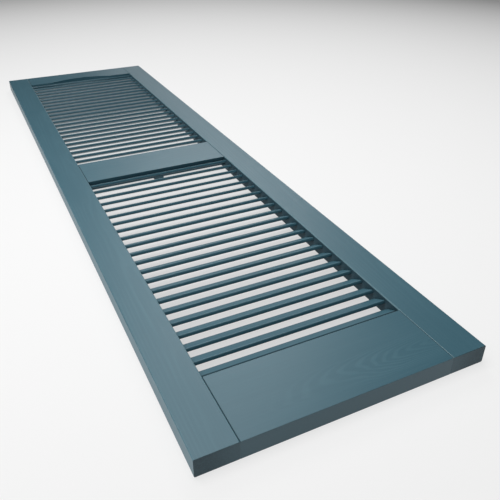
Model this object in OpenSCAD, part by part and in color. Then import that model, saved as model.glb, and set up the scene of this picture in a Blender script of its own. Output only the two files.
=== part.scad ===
// Louvred shutter panel: two stiles, three rails and two banks of fixed louvres.
// It lies flat with its front face up: X runs across, Y from the bottom rail to the
// top rail, and Z up from the back face. Sizes are in millimetres.

/* [Panel] */
// Width across both stiles
panel_w = 381; // [300:1:480]
// Length from the bottom end to the top end
panel_l = 1437; // [1240:1:1760]
// Thickness of stiles and rails
panel_t = 26; // [25:0.5:34]

/* [Stiles] */
// Width of each stile
stile_w = 51; // [42:0.5:70]
// Eased long edges of the stiles
arris = 1; // [0.5:0.25:2]

/* [Rails] */
// Height of the bottom rail
bottom_rail_h = 101.5; // [70:0.5:140]
// Height of the mid rail's lower edge above the bottom end
mid_rail_y = 670.7; // [560:0.1:790]
// Height of the mid rail
mid_rail_h = 90; // [70:0.5:130]
// Height of the top rail beside its arch
top_rail_h = 72; // [60:0.5:110]
// Width of the arch cut in the top rail's lower edge
arch_w = 160; // [100:1:190]
// Height of that arch
arch_rise = 18; // [8:0.5:24]
// Thickness of the rails' tenons
tenon_t = 9; // [7:0.5:11]
// Length of the rails' tenons
tenon_len = 30; // [18:1:36]
// Depth below the front face where the mid rail's rear bevel starts
bevel_depth = 17.5; // [15:0.5:22]
// Run of that bevel up the back of the mid rail
bevel_run = 18; // [10:1:24]
// Width of the pad left square at the middle of the bevel
pad_w = 16; // [10:1:40]

/* [Louvres] */
// Number of louvres below the mid rail
lower_count = 22; // [16:1:22]
// Number of louvres above the mid rail
upper_count = 24; // [18:1:24]
// Width of a louvre from edge to edge
louvre_w = 23.2; // [18:0.1:28]
// Thickness of a louvre
louvre_t = 5.3; // [4:0.1:7]
// Angle between a louvre and the face of the panel
louvre_angle = 27.5; // [22:0.5:35]
// Depth of the louvre centres below the front face
louvre_depth = 12; // [11:0.5:14]
// Length of louvre held in each stile
housing = 9; // [5:0.5:14]

/* [Fits] */
// Clearance all round a louvre in its housing
louvre_fit = 0.1; // [0.05:0.05:0.3]
// Clearance round a tenon in its mortise
tenon_fit = 0.1; // [0.05:0.05:0.3]
// Space beyond the end of a louvre or tenon
end_fit = 0.5; // [0.3:0.1:1]

/* [Hidden] */
// Fullness of the louvre section: 2 is an ellipse, larger is squarer
fullness = 9;
// Sides of the louvre section
section_sides = 40;
// Distance that a cut runs past the face it opens
past = 5;
// Space between a rail's upper edge and the front edge of the first louvre over it
bottom_rail_gap = 3.6;
mid_rail_gap = 4.7;
// How far the last louvre of a bank stands out from the rail over it
last_lower_out = 8.7;
last_upper_out = 0.7;
// Least wood between a tenon and the rail's edge or a louvre
tenon_inset = 12;
tenon_louvre_gap = 4;
arch_sides = 120;

half_w = panel_w / 2;
half_l = panel_l / 2;
opening_w = panel_w - 2 * stile_w;
louvre_z = panel_t - louvre_depth;
bottom_end = -half_l;
mid_low = bottom_end + mid_rail_y;
mid_high = mid_low + mid_rail_h;
top_low = half_l - top_rail_h;

// Half the room that a tilted louvre takes along Y
reach = louvre_w / 2 * cos(louvre_angle);

lower_first = bottom_end + bottom_rail_h + bottom_rail_gap + reach;
lower_last = mid_low - last_lower_out + reach;
lower_pitch = (lower_last - lower_first) / (lower_count - 1);
upper_first = mid_high + mid_rail_gap + reach;
upper_last = top_low - last_upper_out + reach;
upper_pitch = (upper_last - upper_first) / (upper_count - 1);

function lower_y(i) = lower_first + i * lower_pitch;
function upper_y(i) = upper_first + i * upper_pitch;

// Radius of the arch, from its width and rise
arch_r = (arch_w * arch_w / 4 + arch_rise * arch_rise) / (2 * arch_rise);

paint = [0.36, 0.46, 0.50];

function two_digits(i) = i < 10 ? str("0", i) : str(i);
function lower_name(i) = str("louvre_lower_", two_digits(i + 1));
function upper_name(i) = str("louvre_upper_", two_digits(i + 1));

// A power that keeps the sign of its base
function signed_power(v, p) = sign(v) * pow(abs(v), p);

function louvre_point(a, grow) = [
  (louvre_w / 2 + grow) * signed_power(cos(a), 2 / fullness),
  (louvre_t / 2 + grow) * signed_power(sin(a), 2 / fullness)
];

// A louvre's section at height y, run along X over the given half length
module louvre_bar(y, half, grow) {
  translate([-half, y, louvre_z])
    rotate([90, 0, 90])
      linear_extrude(height = 2 * half)
        rotate(-louvre_angle)
          polygon([for (i = [0 : section_sides - 1]) louvre_point(360 * i / section_sides, grow)]);
}

// A box given by its two opposite corners
module box(low, high) {
  translate(low)
    cube(high - low);
}

module louvre(y) {
  color(paint)
    louvre_bar(y, opening_w / 2 + housing, 0);
}

// The room for a louvre's end in a stile, or for its edge in a rail
module louvre_room(y, half) {
  louvre_bar(y, half, louvre_fit);
}

module tenon(low, high, side, grow) {
  inner = opening_w / 2 - (grow > 0 ? past : 0);
  outer = opening_w / 2 + tenon_len + (grow > 0 ? end_fit : 0);
  x_low = side < 0 ? -outer : inner;
  x_high = side < 0 ? -inner : outer;
  box([x_low, low - grow, panel_t / 2 - tenon_t / 2 - grow],
      [x_high, high + grow, panel_t / 2 + tenon_t / 2 + grow]);
}

// Where each rail's tenons start and stop
bottom_tenon = [bottom_end + tenon_inset,
                min(bottom_end + bottom_rail_h - tenon_inset,
                    lower_first - reach - tenon_louvre_gap)];
mid_tenon = [lower_last + reach + tenon_louvre_gap,
             min(mid_high - tenon_inset, upper_first - reach - tenon_louvre_gap)];
top_tenon = [upper_last + reach + tenon_louvre_gap, half_l - tenon_inset];

module mortises(side) {
  tenon(bottom_tenon[0], bottom_tenon[1], side, tenon_fit);
  tenon(mid_tenon[0], mid_tenon[1], side, tenon_fit);
  tenon(top_tenon[0], top_tenon[1], side, tenon_fit);
}

module stile_blank() {
  translate([0, half_l, 0])
    rotate([90, 0, 0])
      linear_extrude(height = panel_l)
        polygon([
          [arris, 0], [stile_w - arris, 0],
          [stile_w, arris], [stile_w, panel_t - arris],
          [stile_w - arris, panel_t], [arris, panel_t],
          [0, panel_t - arris], [0, arris]
        ]);
}

module stile(side) {
  color(paint)
    difference() {
      translate([side < 0 ? -half_w : half_w - stile_w, 0, 0])
        stile_blank();
      for (i = [0 : lower_count - 1])
        louvre_room(lower_y(i), opening_w / 2 + housing + end_fit);
      for (i = [0 : upper_count - 1])
        louvre_room(upper_y(i), opening_w / 2 + housing + end_fit);
      mortises(side);
    }
}

module left_stile() {
  stile(-1);
}

module right_stile() {
  stile(1);
}

// A rail between the stiles, with a tenon at each end
module rail_blank(low, high, ends) {
  box([-opening_w / 2, low, 0], [opening_w / 2, high, panel_t]);
  tenon(ends[0], ends[1], -1, 0);
  tenon(ends[0], ends[1], 1, 0);
}

module bottom_rail() {
  color(paint)
    rail_blank(bottom_end, bottom_end + bottom_rail_h, bottom_tenon);
}

// The rear bevel under the mid rail, on one side of the pad
module rear_bevel(x_low, x_high) {
  translate([x_low, mid_low, 0])
    rotate([90, 0, 90])
      linear_extrude(height = x_high - x_low)
        polygon([
          [-past, -past], [bevel_run, -past], [bevel_run, 0],
          [0, panel_t - bevel_depth], [-past, panel_t - bevel_depth]
        ]);
}

module mid_rail() {
  color(paint)
    difference() {
      rail_blank(mid_low, mid_high, mid_tenon);
      louvre_room(lower_y(lower_count - 1), opening_w / 2 + past);
      rear_bevel(-opening_w / 2 - past, -pad_w / 2);
      rear_bevel(pad_w / 2, opening_w / 2 + past);
    }
}

module arch_cut() {
  intersection() {
    translate([0, top_low + arch_rise - arch_r, -past])
      cylinder(r = arch_r, h = panel_t + 2 * past, $fn = arch_sides);
    box([-arch_w / 2 - past, top_low - past, -past],
        [arch_w / 2 + past, top_low + arch_rise + past, panel_t + past]);
  }
}

module top_rail() {
  color(paint)
    difference() {
      rail_blank(top_low, half_l, top_tenon);
      arch_cut();
      louvre_room(upper_y(upper_count - 1), opening_w / 2 + past);
    }
}

left_stile();
right_stile();
bottom_rail();
mid_rail();
top_rail();
for (i = [0 : lower_count - 1])
  louvre(lower_y(i));
for (i = [0 : upper_count - 1])
  louvre(upper_y(i));
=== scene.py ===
import bpy
import math
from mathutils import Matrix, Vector


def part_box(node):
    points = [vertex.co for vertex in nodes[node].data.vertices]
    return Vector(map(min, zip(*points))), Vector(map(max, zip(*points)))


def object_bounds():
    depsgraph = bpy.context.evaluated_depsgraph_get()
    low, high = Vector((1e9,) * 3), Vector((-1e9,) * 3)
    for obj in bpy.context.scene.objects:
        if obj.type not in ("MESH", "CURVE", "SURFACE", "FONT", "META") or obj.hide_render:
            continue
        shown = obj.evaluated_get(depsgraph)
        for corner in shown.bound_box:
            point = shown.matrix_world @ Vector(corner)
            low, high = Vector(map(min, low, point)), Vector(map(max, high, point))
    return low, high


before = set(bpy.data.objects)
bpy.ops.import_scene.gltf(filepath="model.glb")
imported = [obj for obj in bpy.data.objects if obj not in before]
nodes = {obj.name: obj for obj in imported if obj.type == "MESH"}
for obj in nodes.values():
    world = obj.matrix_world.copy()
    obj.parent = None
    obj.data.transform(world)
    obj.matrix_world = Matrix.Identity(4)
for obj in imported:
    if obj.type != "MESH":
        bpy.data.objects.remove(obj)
cad_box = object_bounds()

# ---- places, in metres, from the frame: the panel lies on its back, with its middle at x = y = 0
half_width, half_length, thickness = cad_box[1]
stile_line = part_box("right_stile")[0].x  # where the rails meet a stile
opening_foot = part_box("bottom_rail")[1].y  # where the lower opening starts

# ---- paint colours, linear ---------------------------------------------------
PAINT_THICK = (0.0330, 0.0955, 0.1275, 1)
PAINT_THIN = (0.0490, 0.1240, 0.1590, 1)
END_PORE = (0.016, 0.048, 0.066, 1)
END_FACE = (0.028, 0.078, 0.102, 1)
# worn paint on the arrises, and a painted highlight on the stiles' inner arrises
WORN_AND_HIGHLIGHT = (0.120, 0.220, 0.255, 1)
# painted shade in the corners
CORNER_SHADE = (0.008, 0.028, 0.042, 1)
# painted shade on the stiles' side faces within the opening
SIDE_SHADE = (0.012, 0.040, 0.056, 1)
# painted shade in the joints and beside the bottom rail
LINE_SHADE = (0.003, 0.012, 0.018, 1)

# ---- how strongly each thing shows -------------------------------------------
RING_SHARE = 0.20
FIBRE_SHARE = 0.38
BRUSH_SHARE = 0.34
CLOUD_SHARE = 0.30
END_AT_JOINT = 0.35
# strength of the painted highlight line along a stile's inner arris
ARRIS_HIGHLIGHT_SHARE = 0.55
# strength of the painted shade in the corners
CORNER_SHADE_SHARE = 0.70
# strength of the painted shade lines in the joints and beside the bottom rail
LINE_SHADE_SHARE = 0.62
CREVICE_STRENGTH = 1.25
SPECULAR = 0.38
SATIN_LOW = 0.37
SATIN_HIGH = 0.47
END_MATT = 0.15
DULL_MATT = 0.45

# ---- relief, in metres -------------------------------------------------------
RING_RELIEF = 0.00012
FIBRE_RELIEF = 0.00012
BRUSH_RELIEF = 0.00015
PEEL_RELIEF = 0.00006

# ---- widths of the wear, painted highlight and painted shade, in metres ------
OUTER_MARGIN = 0.002  # strip along the panel's outer faces that gets no painted shade and no inner-arris painted highlight
END_FADE_START = stile_line - 0.0095
END_FADE_STOP = half_width - 0.0035
ARRIS_SOFT = 0.0007
# rounding of a stile's arrises, where its wear and its painted highlight show
ARRIS_STILE = 0.0012
# where the painted highlight line lies on a stile's top face, beside its inner arris
ARRIS_HIGHLIGHT_START = stile_line + 0.0003
ARRIS_HIGHLIGHT_STOP = stile_line + 0.0017
# widths of the painted shade lines: at a rail's end in the joint, and beside the bottom rail
JOINT_SHADE_WIDTH = 0.0007
CREVICE_REACH = 0.0075
CREVICE_FADE = 0.0014
# how far the occlusion test for the painted corner shade looks
CORNER_REACH = 0.009
RING_WANDER = 0.020


# ---- node helpers ------------------------------------------------------------
class Tree:
    """A material's nodes, added one call at a time. A value is a number or another node's output."""

    def __init__(self, name):
        self.material = bpy.data.materials.new(name)
        self.material.use_nodes = True
        self.nodes = self.material.node_tree.nodes
        self.links = self.material.node_tree.links
        self.shader = self.nodes["Principled BSDF"]

    def put(self, value, socket):
        if isinstance(value, bpy.types.NodeSocket):
            self.links.new(value, socket)
        else:
            socket.default_value = value

    def calculate(self, operation, *values, clamp=False):
        node = self.nodes.new("ShaderNodeMath")
        node.operation = operation
        node.use_clamp = clamp
        for value, socket in zip(values, node.inputs):
            self.put(value, socket)
        return node.outputs[0]

    def plus(self, first, *others):
        total = first
        for other in others:
            total = self.calculate("ADD", total, other)
        return total

    def times(self, first, *others):
        product = first
        for other in others:
            product = self.calculate("MULTIPLY", product, other)
        return product

    def larger(self, first, second):
        return self.calculate("MAXIMUM", first, second)

    def size(self, value):
        return self.calculate("ABSOLUTE", value)

    def ramp(self, value, start, stop, from_value=0.0, to_value=1.0, smooth=True):
        node = self.nodes.new("ShaderNodeMapRange")
        node.interpolation_type = "SMOOTHSTEP" if smooth else "LINEAR"
        self.put(value, node.inputs["Value"])
        self.put(start, node.inputs["From Min"])
        self.put(stop, node.inputs["From Max"])
        self.put(from_value, node.inputs["To Min"])
        self.put(to_value, node.inputs["To Max"])
        return node.outputs["Result"]

    def noise(self, vector, scale=1.0, detail=1.0, roughness=0.5):
        node = self.nodes.new("ShaderNodeTexNoise")
        self.put(vector, node.inputs["Vector"])
        self.put(scale, node.inputs["Scale"])
        self.put(detail, node.inputs["Detail"])
        self.put(roughness, node.inputs["Roughness"])
        return node.outputs["Fac"]

    def join(self, x, y, z):
        node = self.nodes.new("ShaderNodeCombineXYZ")
        for value, socket in zip((x, y, z), node.inputs):
            self.put(value, socket)
        return node.outputs[0]

    def split(self, vector):
        node = self.nodes.new("ShaderNodeSeparateXYZ")
        self.put(vector, node.inputs[0])
        return node.outputs

    def measure(self, operation, *vectors):
        """A vector operation that gives one number."""
        node = self.nodes.new("ShaderNodeVectorMath")
        node.operation = operation
        for vector, socket in zip(vectors, node.inputs):
            self.put(vector, socket)
        return node.outputs["Value"]

    def mix(self, share, color, other):
        node = self.nodes.new("ShaderNodeMixRGB")
        for value, socket in zip((share, color, other), node.inputs):
            self.put(value, socket)
        return node.outputs[0]

    def bump(self, height, strength, distance, normal):
        node = self.nodes.new("ShaderNodeBump")
        self.put(strength, node.inputs["Strength"])
        self.put(distance, node.inputs["Distance"])
        self.put(height, node.inputs["Height"])
        self.put(normal, node.inputs["Normal"])
        return node.outputs["Normal"]

    def openness(self, distance, samples):
        """1 where nothing stands within the distance, and less in a corner."""
        node = self.nodes.new("ShaderNodeAmbientOcclusion")
        node.samples = samples
        self.put(distance, node.inputs["Distance"])
        return node.outputs["AO"]


class Board(Tree):
    """The paint on one board, which knows where a point lies and how the wood runs."""

    SEED_STEP = 0.731

    def __init__(self, name, along, seed):
        super().__init__(name)
        place = self.nodes.new("ShaderNodeTexCoord")
        self.place = place.outputs["Object"]
        self.x, self.y, self.z = self.split(self.place)
        self.normal = self.split(place.outputs["Normal"])
        lengthways = along == "Y"
        self.run, self.across = (self.y, self.x) if lengthways else (self.x, self.y)
        self.end_normal = self.normal[1] if lengthways else self.normal[0]
        self.shift = seed * self.SEED_STEP
        self.inside = self.times(
            self.calculate("LESS_THAN", self.size(self.x), half_width - OUTER_MARGIN),
            self.calculate("LESS_THAN", self.size(self.y), half_length - OUTER_MARGIN))
        self.upward = self.ramp(self.normal[2], 0.3, 0.7)

    def streaks(self, per_run, per_width, depth, detail, roughness=0.5):
        """Noise with so many cells to a metre along the grain and across it."""
        where = self.join(self.times(self.run, per_run), self.times(self.across, per_width), depth)
        return self.noise(where, detail=detail, roughness=roughness)


# ---- satin paint over wood ---------------------------------------------------
def growth_rings(board, pith, slope, ring, reach):
    """The tree's rings, cut by the board's faces and showing only in patches."""
    wander = board.streaks(per_run=7.0, per_width=26.0, depth=board.shift, detail=2.0)
    wander = board.times(board.calculate("SUBTRACT", wander, 0.5), RING_WANDER)
    side = board.plus(board.calculate("SUBTRACT", board.across, pith[0]), wander)
    deep = board.plus(board.z, pith[1], board.times(board.run, slope), board.times(wander, 0.6))
    radius = board.calculate("SQRT", board.plus(board.times(side, side), board.times(deep, deep)))
    rings = board.ramp(board.calculate("SINE", board.times(radius, math.tau / ring)), -0.4, 1.0)
    patches = board.streaks(per_run=9.0, per_width=22.0, depth=board.shift + 9.0, detail=1.0)
    near_pith = board.ramp(radius, 0.5 * reach, reach, from_value=1.0, to_value=0.0)
    return board.times(rings, board.times(board.ramp(patches, 0.36, 0.62), near_pith))


def end_grain(board, color):
    """End grain drinks the paint: darker and more matt, with open pores, most at the panel's corners."""
    end = board.ramp(board.size(board.end_normal), 0.75, 0.95)
    end = board.times(end, board.ramp(board.size(board.x), END_FADE_START, END_FADE_STOP,
                                      from_value=END_AT_JOINT, to_value=1.0))
    pores_per_metre = 700.0
    where = board.join(board.times(board.x, pores_per_metre), board.shift,
                       board.times(board.z, pores_per_metre))
    pores = board.ramp(board.noise(where, detail=3.0, roughness=0.7), 0.35, 0.65)
    return board.mix(end, color, board.mix(pores, END_PORE, END_FACE)), end


def worn_edges_and_highlight(board, color, fibre, inner):
    """Rounded arrises, where the paint is rubbed thin along the fibres and shows lighter, but not on the
    panel's end faces; on a stile this lightening is made stronger inside the outer strip, and a light line
    is added on the top face along the inner arris, as a painted highlight.
    """
    bevel = board.nodes.new("ShaderNodeBevel")
    bevel.samples = 4
    board.put(ARRIS_STILE if inner else ARRIS_SOFT, bevel.inputs["Radius"])
    rounded = bevel.outputs["Normal"]
    flat = board.nodes.new("ShaderNodeNewGeometry").outputs["Normal"]
    turned = board.ramp(board.measure("DOT_PRODUCT", rounded, flat), 0.995, 0.86)
    wear_and_highlight = board.times(turned, board.ramp(fibre, 0.30, 0.62, from_value=0.25, to_value=0.8))
    if inner:
        # painted highlight on a stile's inner arris, all along the opening: a stronger lightening, and a
        # light line on the top face beside it
        highlight_gain = board.plus(board.times(board.inside, 1.5 * inner), 1.0)
        wear_and_highlight = board.calculate("MULTIPLY", wear_and_highlight, highlight_gain, clamp=True)
        line = board.ramp(board.size(board.x), ARRIS_HIGHLIGHT_START, ARRIS_HIGHLIGHT_STOP,
                          from_value=ARRIS_HIGHLIGHT_SHARE, to_value=0.0)
        wear_and_highlight = board.larger(wear_and_highlight, board.times(line, board.inside, board.upward))
    off_the_ends = board.ramp(board.size(board.normal[1]), 0.90, 0.80)
    return board.mix(board.times(wear_and_highlight, off_the_ends), color, WORN_AND_HIGHLIGHT), rounded


def painted_shade(board, color, inner, joint, crevice):
    """Painted shade: darker in the corners that an occlusion test finds, on a stile's side faces within the
    opening, and in lines at the joints and beside the bottom rail. The same mask makes these places rougher.
    """
    # painted shade: darker where the occlusion test finds a corner, inside the outer strip, and weaker
    # towards the top of the panel
    shade_spread = board.times(board.inside, board.ramp(board.y, 0.0, 0.6, from_value=1.0, to_value=0.1))
    shade_mask = board.times(board.ramp(board.openness(CORNER_REACH, samples=6), 0.80, 0.20), shade_spread)
    color = board.mix(board.times(shade_mask, CORNER_SHADE_SHARE), color, CORNER_SHADE)
    if inner:
        # painted shade on a stile's side faces within the opening
        sideways = board.calculate("GREATER_THAN", board.size(board.normal[0]), 0.8)
        side_shade_mask = board.times(sideways, shade_spread, inner)
        color = board.mix(side_shade_mask, color, SIDE_SHADE)
        shade_mask = board.larger(shade_mask, side_shade_mask)
    # painted shade lines: a rail's ends in the joint, and the first louvre beside the bottom rail
    if joint or crevice:
        if joint:
            line = board.calculate("GREATER_THAN", board.size(board.x), joint)
        else:
            line = board.ramp(board.y, crevice, crevice + CREVICE_FADE,
                              from_value=CREVICE_STRENGTH, to_value=0.0)
        line = board.times(line, board.upward)
        color = board.mix(board.calculate("MULTIPLY", line, LINE_SHADE_SHARE, clamp=True), color, LINE_SHADE)
        shade_mask = board.larger(shade_mask, line)
    return color, shade_mask


def paint(name, along, seed, pith, slope, ring=0.0030, figure=1.0, reach=1.0,
          inner=0.0, joint=None, crevice=None):
    """Blue grey satin paint, with the wood's figure showing through as relief.

    along: the axis that the grain runs on.
    pith: the tree's centre line at the panel's middle: its place across the board, and its depth
        under the board's back.
    slope: how far that line sinks in a metre, which opens the rings into long arches.
    ring: the width of a ring. figure: how strongly the rings show. reach: how far from the pith.
    inner: on a stile, the strength of the painted shade on the side face within the opening and of the
    painted highlight on the inner arris.
    joint: on a rail, how far from the middle its end is darkened by a painted shade line in the joint.
    crevice: on a louvre, how far up the panel the painted shade line beside the bottom rail reaches."""
    board = Board(name, along, seed)
    rings = growth_rings(board, pith, slope, ring, reach)
    fibre = board.streaks(per_run=9.0, per_width=420.0, depth=board.times(board.z, 420.0),
                          detail=4.0, roughness=0.6)
    brush = board.streaks(per_run=3.0, per_width=150.0, depth=board.shift, detail=3.0, roughness=0.55)
    clouds = board.streaks(per_run=4.0, per_width=11.0, depth=board.shift + 3.0, detail=2.0)
    grain = board.plus(board.times(rings, RING_SHARE * figure), board.times(fibre, FIBRE_SHARE),
                       board.times(brush, BRUSH_SHARE), board.times(clouds, CLOUD_SHARE))
    color = board.mix(board.ramp(grain, 0.28, 0.95, smooth=False), PAINT_THICK, PAINT_THIN)
    color, end = end_grain(board, color)
    # worn arrises, with a painted highlight along the stiles' inner arrises
    color, rounded = worn_edges_and_highlight(board, color, fibre, inner)
    # painted shade in the corners, on the stiles' side faces within the opening, and in the joints and
    # beside the bottom rail
    color, shade_mask = painted_shade(board, color, inner, joint, crevice)
    board.put(color, board.shader.inputs["Base Color"])
    board.put(SPECULAR, board.shader.inputs["Specular IOR Level"])

    uneven = board.plus(board.times(fibre, 0.6), board.times(clouds, 0.4))
    satin = board.ramp(uneven, 0.3, 0.7, from_value=SATIN_LOW, to_value=SATIN_HIGH, smooth=False)
    # rougher on end grain and where the painted shade lies
    roughness = board.plus(satin, board.times(end, END_MATT), board.times(shade_mask, DULL_MATT))
    board.put(roughness, board.shader.inputs["Roughness"])

    orange_peel = board.noise(board.place, scale=1100.0)
    relief = board.bump(rings, 0.12 * figure, RING_RELIEF, rounded)
    relief = board.bump(fibre, 0.35, FIBRE_RELIEF, relief)
    relief = board.bump(brush, 0.30, BRUSH_RELIEF, relief)
    relief = board.bump(orange_peel, 0.10, PEEL_RELIEF, relief)
    board.put(relief, board.shader.inputs["Normal"])
    return board.material


def dress(piece, material):
    slots = piece.data.materials
    if not slots:
        slots.append(material)
    for i in range(len(slots)):
        slots[i] = material


# ---- smooth shading by angle, as a modifier, so no CAD mesh is changed --------
def smooth_group(sharp_angle):
    group = bpy.data.node_groups.new("smooth_by_angle", "GeometryNodeTree")
    for way in ("INPUT", "OUTPUT"):
        group.interface.new_socket("Geometry", in_out=way, socket_type="NodeSocketGeometry")
    start = group.nodes.new("NodeGroupInput")
    stop = group.nodes.new("NodeGroupOutput")
    weld = group.nodes.new("GeometryNodeMergeByDistance")
    weld.inputs["Distance"].default_value = 1e-6
    faces = group.nodes.new("GeometryNodeSetShadeSmooth")
    faces.inputs["Shade Smooth"].default_value = True
    edges = group.nodes.new("GeometryNodeSetShadeSmooth")
    edges.domain = "EDGE"
    edges.inputs["Shade Smooth"].default_value = False
    angle = group.nodes.new("GeometryNodeInputMeshEdgeAngle")
    sharp = group.nodes.new("FunctionNodeCompare")
    sharp.data_type = "FLOAT"
    sharp.operation = "GREATER_THAN"
    sharp.inputs["B"].default_value = sharp_angle
    link = group.links.new
    link(angle.outputs["Unsigned Angle"], sharp.inputs["A"])
    link(start.outputs[0], weld.inputs["Geometry"])
    link(weld.outputs["Geometry"], faces.inputs["Geometry"])
    link(faces.outputs["Geometry"], edges.inputs["Geometry"])
    link(sharp.outputs["Result"], edges.inputs["Selection"])
    link(edges.outputs["Geometry"], stop.inputs[0])
    return group


# ---- each board its own paint ------------------------------------------------
# a stile's inner value sets the painted shade on its side faces and the painted highlight on its inner arris
stile = {"along": "Y", "inner": 0.6}
# a rail's ends get a painted shade line in the joint
rail = {"along": "X", "joint": stile_line - JOINT_SHADE_WIDTH}
louvre = {"along": "X", "slope": 0.04, "figure": 0.5}
boards = {
    "left_stile": dict(stile, seed=1, pith=(-0.150, 0.020), slope=0.012),
    "right_stile": dict(stile, seed=2, pith=(0.190, 0.035), slope=0.018),
    "bottom_rail": dict(rail, seed=3, pith=(-0.684, -0.0488), slope=0.12,
                        ring=0.0026, figure=1.7, reach=0.040),
    "mid_rail": dict(rail, seed=4, pith=(0.010, 0.030), slope=0.05),
    "top_rail": dict(rail, seed=5, pith=(0.690, 0.040), slope=0.04),
}
for name, board in boards.items():
    dress(nodes[name], paint("paint_" + name, **board))

louvre_paints = [paint("paint_louvre_%d" % k, seed=20 + 3 * k, pith=(0.2 * k, 0.05), **louvre)
                 for k in range(5)]
# the first louvre gets a painted shade line beside the bottom rail
first_louvre_paint = paint("paint_louvre_first", seed=35, pith=(0.5, 0.05),
                           crevice=opening_foot + CREVICE_REACH, **louvre)
smooth = smooth_group(sharp_angle=0.9)
for i, (name, piece) in enumerate(sorted(nodes.items())):
    if name.startswith("louvre"):
        dress(piece, louvre_paints[(i * 3) % len(louvre_paints)])
        piece.modifiers.new("smooth", "NODES").node_group = smooth
dress(nodes["louvre_lower_01"], first_louvre_paint)


# ---- floor -------------------------------------------------------------------
FLOOR_REACH = 30
FLOOR_DROP = 0.0005
FLOOR_GREY = 0.13
FLOOR_GLOW = 0.78
GLOW_RANGE = 2.0  # metres from the panel's middle, where FAR_LOSS of the glow is gone
FAR_LOSS = 0.43
LEAST_GLOW = 0.25
SHADE_REACH = 0.05
UNDER_PANEL = 0.75


def pale_floor():
    """A matt floor with a glow of its own, which falls off far from the panel and close under it."""
    tree = Tree("floor_pale")
    tree.put((FLOOR_GREY, FLOOR_GREY, FLOOR_GREY, 1), tree.shader.inputs["Base Color"])
    tree.put(0.9, tree.shader.inputs["Roughness"])
    tree.put(0.0, tree.shader.inputs["Specular IOR Level"])
    tree.put((1, 1, 1, 1), tree.shader.inputs["Emission Color"])
    place = tree.nodes.new("ShaderNodeTexCoord").outputs["Object"]
    distance = tree.times(tree.measure("LENGTH", place), 1 / GLOW_RANGE)
    loss = tree.times(tree.calculate("POWER", distance, 2.4), FAR_LOSS)
    glow = tree.larger(tree.calculate("SUBTRACT", 1.0, loss), LEAST_GLOW)
    shade = tree.ramp(tree.openness(SHADE_REACH, samples=8), 0.0, 0.5,
                      from_value=UNDER_PANEL, to_value=1.0, smooth=False)
    tree.put(tree.times(glow, shade, FLOOR_GLOW), tree.shader.inputs["Emission Strength"])
    return tree.material


mesh = bpy.data.meshes.new("floor")
corners = [(x * FLOOR_REACH, y * FLOOR_REACH, 0) for x, y in ((-1, -1), (1, -1), (1, 1), (-1, 1))]
mesh.from_pydata(corners, [], [(0, 1, 2, 3)])
floor = bpy.data.objects.new("floor", mesh)
bpy.context.collection.objects.link(floor)
floor.location.z = -FLOOR_DROP
floor.data.materials.append(pale_floor())


# ---- light -------------------------------------------------------------------
def aim(thing, place, direction):
    thing.location = place
    thing.rotation_euler = direction.to_track_quat("-Z", "Y").to_euler()


def softbox(name, place, target, size, power):
    light = bpy.data.lights.new(name, "AREA")
    light.shape = "RECTANGLE"
    light.size, light.size_y = size
    light.energy = power
    lamp = bpy.data.objects.new(name, light)
    bpy.context.collection.objects.link(lamp)
    aim(lamp, place, Vector(target) - Vector(place))
    return lamp


world = bpy.context.scene.world or bpy.data.worlds.new("studio")
bpy.context.scene.world = world
world.use_nodes = True
backdrop = world.node_tree.nodes["Background"]
backdrop.inputs["Color"].default_value = (1, 1, 1, 1)
backdrop.inputs["Strength"].default_value = 0.03

softbox("near_top", (-0.2, -0.3, 1.4), (-0.1, -0.3, 0), (0.8, 0.8), 17.5)
softbox("near_left", (-0.9, -0.5, 1.1), (0, -0.2, 0), (0.8, 0.8), 4.6)
softbox("left_back", (-0.7, 0.5, 1.2), (0, -0.2, 0), (0.8, 0.8), 4.2)
softbox("back_high", (1.1, 2.2, 2.2), (0, 0, 0), (1.2, 1.2), 38.5)
softbox("back_low", (1.2, 3.2, 0.7), (0, 0, 0), (1.2, 0.8), 3.4)
# a thin strip level with the panel's middle, which lights little but its left outer face
strip_height = thickness / 2 + FLOOR_DROP
left_strip = softbox("left_strip", (-1.1, -0.2, strip_height), (0, -0.2, strip_height), (1.4, 0.022), 5.5)
left_strip.visible_camera = False

# ---- camera ------------------------------------------------------------------
CAMERA_PLACE = (-0.3035, -1.0765, 0.5003)
CAMERA_DIRECTION = (0.37191, 0.76127, -0.53118)
camera_data = bpy.data.cameras.new("camera")
camera_data.sensor_width = 36
camera_data.lens = 41.99
camera = bpy.data.objects.new("camera", camera_data)
bpy.context.collection.objects.link(camera)
aim(camera, CAMERA_PLACE, Vector(CAMERA_DIRECTION))
bpy.context.scene.camera = camera
bpy.context.scene.view_settings.view_transform = "Standard"
